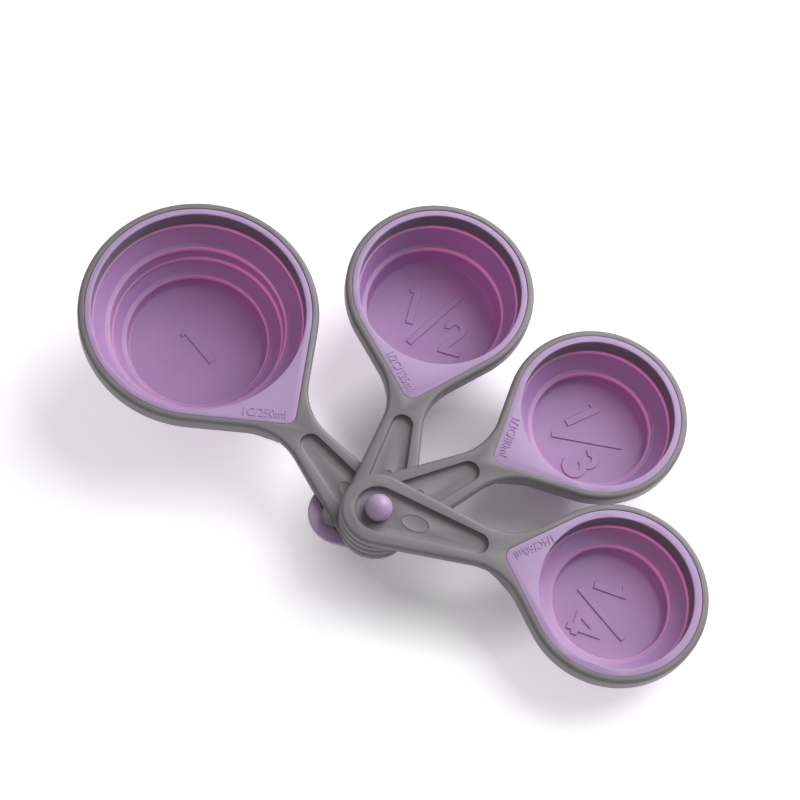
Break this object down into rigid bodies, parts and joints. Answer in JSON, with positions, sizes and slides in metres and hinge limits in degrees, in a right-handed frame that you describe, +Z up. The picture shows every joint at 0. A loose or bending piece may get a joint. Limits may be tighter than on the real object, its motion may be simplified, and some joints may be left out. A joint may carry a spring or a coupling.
{
  "type": "measuring cup set",
  "caption": "Collapsible silicone measuring cups in rigid teardrop frames, fanned out on one pivot pin and resting on their bowls.",
  "frame": {"origin": "the point on the table under the middle of the fanned-out set's box", "axes": "+Z up from the table, +X along the set's length, +Y away from the quarter cup's side, towards the half cup"},
  "size_m": [0.2864, 0.2338, 0.0575],
  "materials": {
    "frame_grey": "satin moulded plastic",
    "inlay_lilac": "soft matte",
    "silicone_purple": "matte silicone",
    "keeper_lilac": "satin moulded plastic"
  },
  "bodies": {
    "cup_one": {"frame_one": "frame_grey", "inlay_one": "inlay_lilac", "collar_one": "silicone_purple"},
    "keeper": {"keeper": "keeper_lilac"},
    "ring_one": {"web_one_1": "silicone_purple", "ring_one": "silicone_purple"},
    "base_one": {"web_one_2": "silicone_purple", "base_one": "silicone_purple"},
    "cup_half": {"frame_half": "frame_grey", "inlay_half": "inlay_lilac", "collar_half": "silicone_purple"},
    "base_half": {"web_half_1": "silicone_purple", "base_half": "silicone_purple"},
    "cup_third": {"frame_third": "frame_grey", "inlay_third": "inlay_lilac", "collar_third": "silicone_purple"},
    "base_third": {"web_third_1": "silicone_purple", "base_third": "silicone_purple"},
    "cup_quarter": {"frame_quarter": "frame_grey", "inlay_quarter": "inlay_lilac", "collar_quarter": "silicone_purple"},
    "base_quarter": {"web_quarter_1": "silicone_purple", "base_quarter": "silicone_purple"}
  },
  "joints": [
    {"name": "keeper_turn", "type": "hinge", "parent": "cup_one", "child": "keeper", "pos_m": [-0.00471, -0.04154, 0.02823], "axis": [0.1191, -0.1078, 0.987], "continuous": true},
    {"name": "half_swing", "type": "hinge", "parent": "cup_one", "child": "cup_half", "pos_m": [-0.00471, -0.04154, 0.02823], "axis": [0.1191, -0.1078, 0.987], "range_deg": [-50, 5.5]},
    {"name": "third_swing", "type": "hinge", "parent": "cup_half", "child": "cup_third", "pos_m": [-0.00471, -0.04154, 0.02823], "axis": [0.1191, -0.1078, 0.987], "range_deg": [-50, 3.7]},
    {"name": "quarter_swing", "type": "hinge", "parent": "cup_third", "child": "cup_quarter", "pos_m": [-0.00471, -0.04154, 0.02823], "axis": [0.1191, -0.1078, 0.987], "range_deg": [-50, 1.6]},
    {"name": "one_fold", "type": "slide", "parent": "cup_one", "child": "ring_one", "axis": [0.1191, -0.1078, 0.987], "range_m": [0, 0.0154], "deforming": ["web_one_1"]},
    {"name": "one_fold_base", "type": "slide", "parent": "ring_one", "child": "base_one", "axis": [0.1191, -0.1078, 0.987], "range_m": [0, 0.0118], "deforming": ["web_one_2"]},
    {"name": "half_fold", "type": "slide", "parent": "cup_half", "child": "base_half", "axis": [0.1191, -0.1078, 0.987], "range_m": [0, 0.0225], "deforming": ["web_half_1"]},
    {"name": "third_fold", "type": "slide", "parent": "cup_third", "child": "base_third", "axis": [0.1191, -0.1078, 0.987], "range_m": [0, 0.015], "deforming": ["web_third_1"]},
    {"name": "quarter_fold", "type": "slide", "parent": "cup_quarter", "child": "base_quarter", "axis": [0.1191, -0.1078, 0.987], "range_m": [0, 0.008], "deforming": ["web_quarter_1"]}
  ],
  "couplings": [
    {"joint": "one_fold_base", "follows": "one_fold", "ratio": 0.766}
  ]
}
